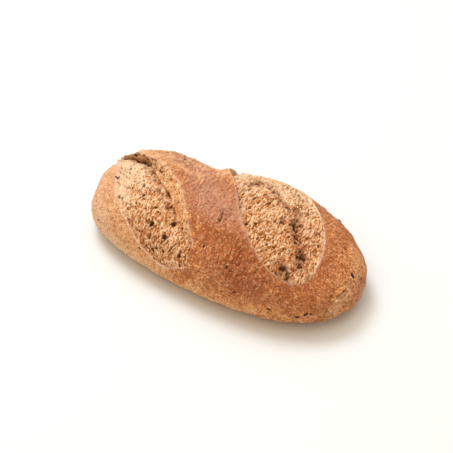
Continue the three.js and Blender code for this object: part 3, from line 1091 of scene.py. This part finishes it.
class BAGUETTE_OT_seeds(bpy.types.Operator):
    """Lay flax seeds, dark flecks and pale flakes into the crust"""

    bl_idname = "baguette.seeds"
    bl_label = "Seeds and flakes"

    def execute(self, context):
        scene = context.scene
        wanted = scene.baguette_seeds
        mesh = bpy.data.objects["crusty_loaf"].data
        self.mark_grounds(mesh)
        flax = seed_material("flax_husk", (0.05, 0.018, 0.016), (0.16, 0.06, 0.035), 0.5)
        fleck = seed_material("bran_fleck", (0.03, 0.018, 0.018), (0.2, 0.085, 0.04), 0.6)
        flake = seed_material("pale_flake", (0.55, 0.34, 0.18), (0.8, 0.62, 0.42), 0.75)
        amounts = (
            (wanted.flax_density, wanted.flax_length, flax),
            (wanted.fleck_density, wanted.fleck_length, fleck),
            (wanted.flake_density, wanted.flake_length, flake),
        )
        for number, (grain, amount) in enumerate(zip(GRAINS, amounts)):
            name, ground, shape, smallest = grain
            density, length, finish = amount
            size = [length * GROWTH * share for share in shape]
            grains = scattered(
                name, mesh, Density=density, Ground=ground, Length=size[0], Width=size[1], Thickness=size[2],
                Smallest=smallest, Sink=size[2] * SINK, Seed=wanted.scatter_seed + number, Finish=finish)
            self.place(scene, name, grains)
        single = single_seeds("large_flax_seeds", mesh, FLAX_PLACES, wanted.flax_length * GROWTH, flax)
        self.place(scene, "large_flax_seeds", single)
        return {"FINISHED"}

    def place(self, scene, name, mesh):
        """Make the seeds' mesh a piece of the loaf."""
        piece = bpy.data.objects.new(name, mesh)
        scene.collection.objects.link(piece)
        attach(piece, "root")

    def mark_grounds(self, mesh):
        """Note on the loaf where seeds and grains may lie: off its base and off the rims of its slashes."""
        height = point_places(mesh)[:, 2] / UNIT
        off_base = smooth((height - 2) / 6)
        bare = np.maximum(read(mesh, "crumb"), read(mesh, "inner"))
        for name, on_crumb in GROUNDS:
            layer = mesh.attributes.new(name, "FLOAT", "POINT")
            values = off_base * (1 - (1 - on_crumb) * bare) * (1 - read(mesh, "rim"))
            layer.data.foreach_set("value", values.astype(np.float32))


COOL = (0.85, 0.935, 1.0)  # tints of the lamps and the sky
WARM = (1.0, 0.83, 0.6)
LAMPS = (  # name, its shares to the camera's right and ahead for each share up, distance, size and tint
    ("key_light", (-0.25, 0.35), 1.4, 0.56, COOL),
    ("top_light", (-0.1, 0.25), 1.5, 2.0, COOL),
    ("fill_light", (-0.35, -0.7), 1.0, 0.8, WARM),
)
CAMERA_SHIFT = (-0.0011, -0.0036)
AIM_ASIDE = 0.0005  # how far across from the loaf's middle the camera looks
FLOOR_REACH = 20  # loaf lengths from the middle to the floor's edge
FLOOR_DROP = 0.0001  # keeps the floor off the loaf's base


class BAGUETTE_OT_stage(bpy.types.Operator):
    """Set the plain floor, the soft studio light and the camera"""

    bl_idname = "baguette.stage"
    bl_label = "Stage"

    def execute(self, context):
        scene = context.scene
        stage = scene.baguette_stage
        right = Vector((math.cos(stage.azimuth), math.sin(stage.azimuth), 0))
        ahead = Vector((-math.sin(stage.azimuth), math.cos(stage.azimuth), 0))
        middle = Vector((0, AIM_ASIDE, LOAF_SIZE.z / 2))
        self.floor(scene, stage)
        self.camera(scene, stage, ahead, middle)
        powers = (stage.key_power, stage.top_power, stage.fill_power)
        for (name, (side, onward), distance, size, tint), power in zip(LAMPS, powers):
            way = (right * side + ahead * onward + Vector((0, 0, 1))).normalized()
            self.lamp(scene, name, middle + way * distance, middle, size, power, tint)
        self.sky(scene, stage)
        scene.view_settings.view_transform = "Standard"
        return {"FINISHED"}

    def floor(self, scene, stage):
        """A wide square of plain matt floor."""
        half = FLOOR_REACH * LOAF_SIZE.x
        corners = [(-half, -half, 0), (half, -half, 0), (half, half, 0), (-half, half, 0)]
        mesh = bpy.data.meshes.new("floor")
        mesh.from_pydata(corners, [], [(0, 1, 2, 3)])
        floor = bpy.data.objects.new("floor", mesh)
        floor.location.z = -FLOOR_DROP
        scene.collection.objects.link(floor)
        material, tree = new_material("floor_white")
        shader = tree.add("ShaderNodeBsdfPrincipled", {
            "Base Color": stage.floor_colour, "Roughness": 1.0, "Specular IOR Level": 0.0})
        tree.add("ShaderNodeOutputMaterial", {0: shader.outputs[0]})
        mesh.materials.append(material)

    def camera(self, scene, stage, ahead, middle):
        """A camera that looks at the loaf's middle from above its -Y side."""
        back = -ahead * math.cos(stage.elevation) + Vector((0, 0, math.sin(stage.elevation)))
        data = bpy.data.cameras.new("camera")
        data.lens = stage.lens
        data.shift_x, data.shift_y = CAMERA_SHIFT
        camera = bpy.data.objects.new("camera", data)
        camera.location = middle + back * stage.distance
        camera.rotation_euler = (-back).to_track_quat("-Z", "Y").to_euler()
        scene.collection.objects.link(camera)
        scene.camera = camera

    def lamp(self, scene, name, place, target, size, power, colour):
        """A round, soft lamp that faces the loaf."""
        data = bpy.data.lights.new(name, "AREA")
        data.shape = "DISK"
        data.size = size
        data.energy = power
        data.color = colour
        lamp = bpy.data.objects.new(name, data)
        lamp.location = place
        lamp.rotation_euler = (target - place).to_track_quat("-Z", "Y").to_euler()
        scene.collection.objects.link(lamp)

    def sky(self, scene, stage):
        """Even light from all round."""
        world = bpy.data.worlds.new("studio")
        world.use_nodes = True
        tree = Tree(world.node_tree)
        glow = tree.add("ShaderNodeBackground", {"Color": WARM, "Strength": stage.sky_strength})
        tree.add("ShaderNodeOutputWorld", {0: glow.outputs[0]})
        scene.world = world


class BAGUETTE_PT_panel(bpy.types.Panel):
    """Buttons and settings for the baguette"""

    bl_idname = "BAGUETTE_PT_panel"
    bl_label = "Seeded Baguette"
    bl_space_type = "VIEW_3D"
    bl_region_type = "UI"
    bl_category = "Baguette"

    def draw(self, context):
        layout = self.layout
        for operator in OPERATORS:
            layout.operator(operator.bl_idname)
        for name, group in SETTINGS.items():
            box = layout.box()
            for label in group.__annotations__:
                box.prop(getattr(context.scene, name), label)


OPERATORS = (BAGUETTE_OT_loaf, BAGUETTE_OT_seeds, BAGUETTE_OT_stage)
SETTINGS = {
    "baguette_loaf": BaguetteLoafSettings,
    "baguette_colours": BaguetteColourSettings,
    "baguette_seeds": BaguetteSeedSettings,
    "baguette_stage": BaguetteStageSettings,
}
CLASSES = (*SETTINGS.values(), *OPERATORS, BAGUETTE_PT_panel)


def register():
    for item in CLASSES:
        bpy.utils.register_class(item)
    for name, group in SETTINGS.items():
        setattr(bpy.types.Scene, name, PointerProperty(type=group))


def unregister():
    for name in SETTINGS:
        delattr(bpy.types.Scene, name)
    for item in reversed(CLASSES):
        bpy.utils.unregister_class(item)


def main():
    register()
    for operator in OPERATORS:
        name = operator.bl_idname.split(".")[1]
        getattr(bpy.ops.baguette, name)()


if __name__ == "__main__":
    main()
